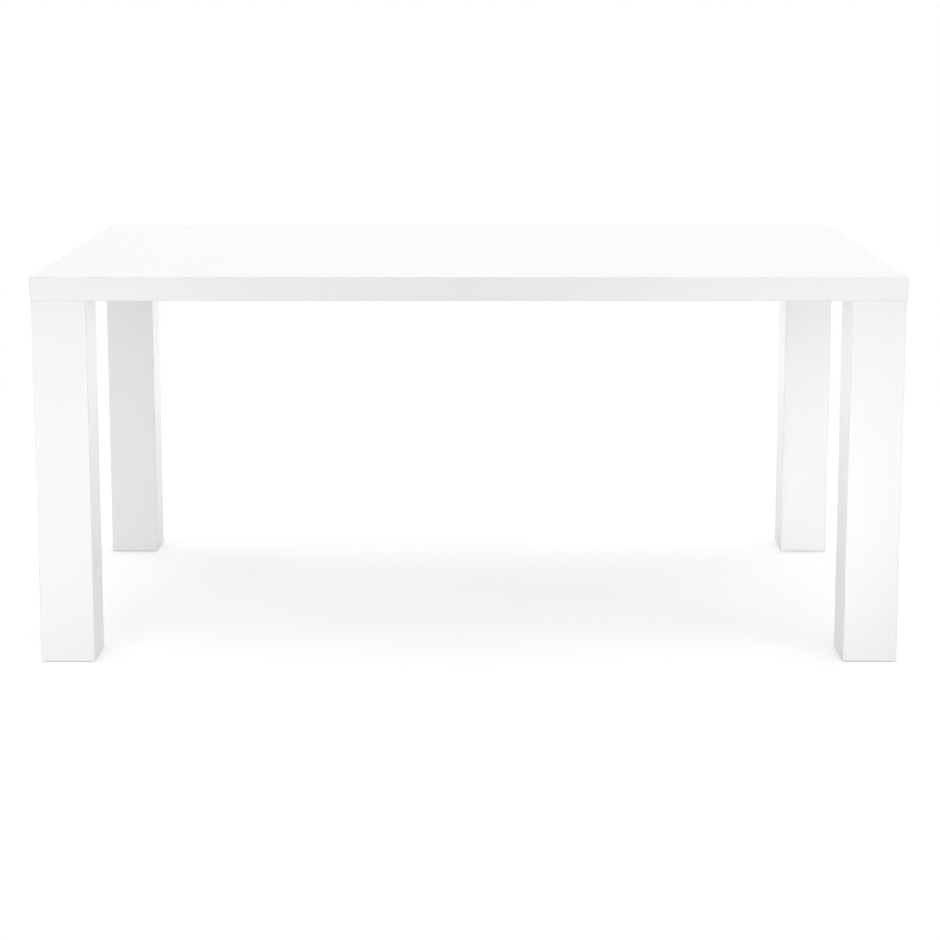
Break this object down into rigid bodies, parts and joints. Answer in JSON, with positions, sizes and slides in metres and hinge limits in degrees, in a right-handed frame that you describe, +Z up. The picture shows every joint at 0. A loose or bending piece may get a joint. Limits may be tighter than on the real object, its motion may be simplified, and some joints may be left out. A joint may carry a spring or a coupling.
{
  "type": "parsons dining table",
  "caption": "Rectangular white gloss dining table with a thick plain top and square legs flush at the corners.",
  "frame": {"origin": "centre of the table's footprint, on the floor", "axes": "+X along the table's length, +Y across it towards the back, +Z up; the long side seen from the front faces -Y"},
  "size_m": [1.6256, 0.9144, 0.7366],
  "materials": {
    "gloss_white": "high gloss lacquer on MDF",
    "satin_white": "satin sealed MDF",
    "raw_mdf": "bare MDF",
    "plate_steel": "zinc plated sheet",
    "zinc_steel": "zinc plated",
    "nylon": "moulded nylon"
  },
  "bodies": {
    "table": {"top_skin": "gloss_white", "bottom_skin": "satin_white", "front_rail": "gloss_white", "back_rail": "gloss_white", "left_rail": "gloss_white", "right_rail": "gloss_white", "front_long_rib": "raw_mdf", "back_long_rib": "raw_mdf", "cross_rib_1": "raw_mdf", "cross_rib_2": "raw_mdf", "cross_rib_3": "raw_mdf", "cross_rib_4": "raw_mdf", "cross_rib_5": "raw_mdf", "front_left_corner_block": "raw_mdf", "front_left_leg_front_board": "gloss_white", "front_left_leg_right_board": "gloss_white", "front_left_leg_back_board": "gloss_white", "front_left_leg_left_board": "gloss_white", "front_left_leg_top_block": "raw_mdf", "front_left_leg_foot_block": "satin_white", "front_left_leg_plate": "plate_steel", "front_right_corner_block": "raw_mdf", "front_right_leg_front_board": "gloss_white", "front_right_leg_right_board": "gloss_white", "front_right_leg_back_board": "gloss_white", "front_right_leg_left_board": "gloss_white", "front_right_leg_top_block": "raw_mdf", "front_right_leg_foot_block": "satin_white", "front_right_leg_plate": "plate_steel", "back_right_corner_block": "raw_mdf", "back_right_leg_front_board": "gloss_white", "back_right_leg_right_board": "gloss_white", "back_right_leg_back_board": "gloss_white", "back_right_leg_left_board": "gloss_white", "back_right_leg_top_block": "raw_mdf", "back_right_leg_foot_block": "satin_white", "back_right_leg_plate": "plate_steel", "back_left_corner_block": "raw_mdf", "back_left_leg_front_board": "gloss_white", "back_left_leg_right_board": "gloss_white", "back_left_leg_back_board": "gloss_white", "back_left_leg_left_board": "gloss_white", "back_left_leg_top_block": "raw_mdf", "back_left_leg_foot_block": "satin_white", "back_left_leg_plate": "plate_steel", "top_inserts": "zinc_steel", "mounting_bolts": "zinc_steel", "mounting_washers": "zinc_steel", "plate_screws": "zinc_steel", "foot_tee_nuts": "zinc_steel"},
    "front_left_glide": {"front_left_glide": "nylon"},
    "front_left_stud": {"front_left_glide_stud": "zinc_steel"},
    "front_right_glide": {"front_right_glide": "nylon"},
    "front_right_stud": {"front_right_glide_stud": "zinc_steel"},
    "back_right_glide": {"back_right_glide": "nylon"},
    "back_right_stud": {"back_right_glide_stud": "zinc_steel"},
    "back_left_glide": {"back_left_glide": "nylon"},
    "back_left_stud": {"back_left_glide_stud": "zinc_steel"}
  },
  "joints": [
    {"name": "front_left_glide_slide", "type": "slide", "parent": "table", "child": "front_left_glide", "axis": [0, 0, -1], "range_m": [0, 0.008]},
    {"name": "front_left_stud_turn", "type": "hinge", "parent": "front_left_glide", "child": "front_left_stud", "pos_m": [-0.76, -0.4044, 0.0065], "axis": [0, 0, -1], "range_deg": [0, 2304]},
    {"name": "front_right_glide_slide", "type": "slide", "parent": "table", "child": "front_right_glide", "axis": [0, 0, -1], "range_m": [0, 0.008]},
    {"name": "front_right_stud_turn", "type": "hinge", "parent": "front_right_glide", "child": "front_right_stud", "pos_m": [0.76, -0.4044, 0.0065], "axis": [0, 0, -1], "range_deg": [0, 2304]},
    {"name": "back_right_glide_slide", "type": "slide", "parent": "table", "child": "back_right_glide", "axis": [0, 0, -1], "range_m": [0, 0.008]},
    {"name": "back_right_stud_turn", "type": "hinge", "parent": "back_right_glide", "child": "back_right_stud", "pos_m": [0.76, 0.4044, 0.0065], "axis": [0, 0, -1], "range_deg": [0, 2304]},
    {"name": "back_left_glide_slide", "type": "slide", "parent": "table", "child": "back_left_glide", "axis": [0, 0, -1], "range_m": [0, 0.008]},
    {"name": "back_left_stud_turn", "type": "hinge", "parent": "back_left_glide", "child": "back_left_stud", "pos_m": [-0.76, 0.4044, 0.0065], "axis": [0, 0, -1], "range_deg": [0, 2304]}
  ],
  "couplings": [
    {"joint": "front_left_stud_turn", "follows": "front_left_glide_slide", "rad_per_m": 5026.5},
    {"joint": "front_right_stud_turn", "follows": "front_right_glide_slide", "rad_per_m": 5026.5},
    {"joint": "back_right_stud_turn", "follows": "back_right_glide_slide", "rad_per_m": 5026.5},
    {"joint": "back_left_stud_turn", "follows": "back_left_glide_slide", "rad_per_m": 5026.5}
  ]
}
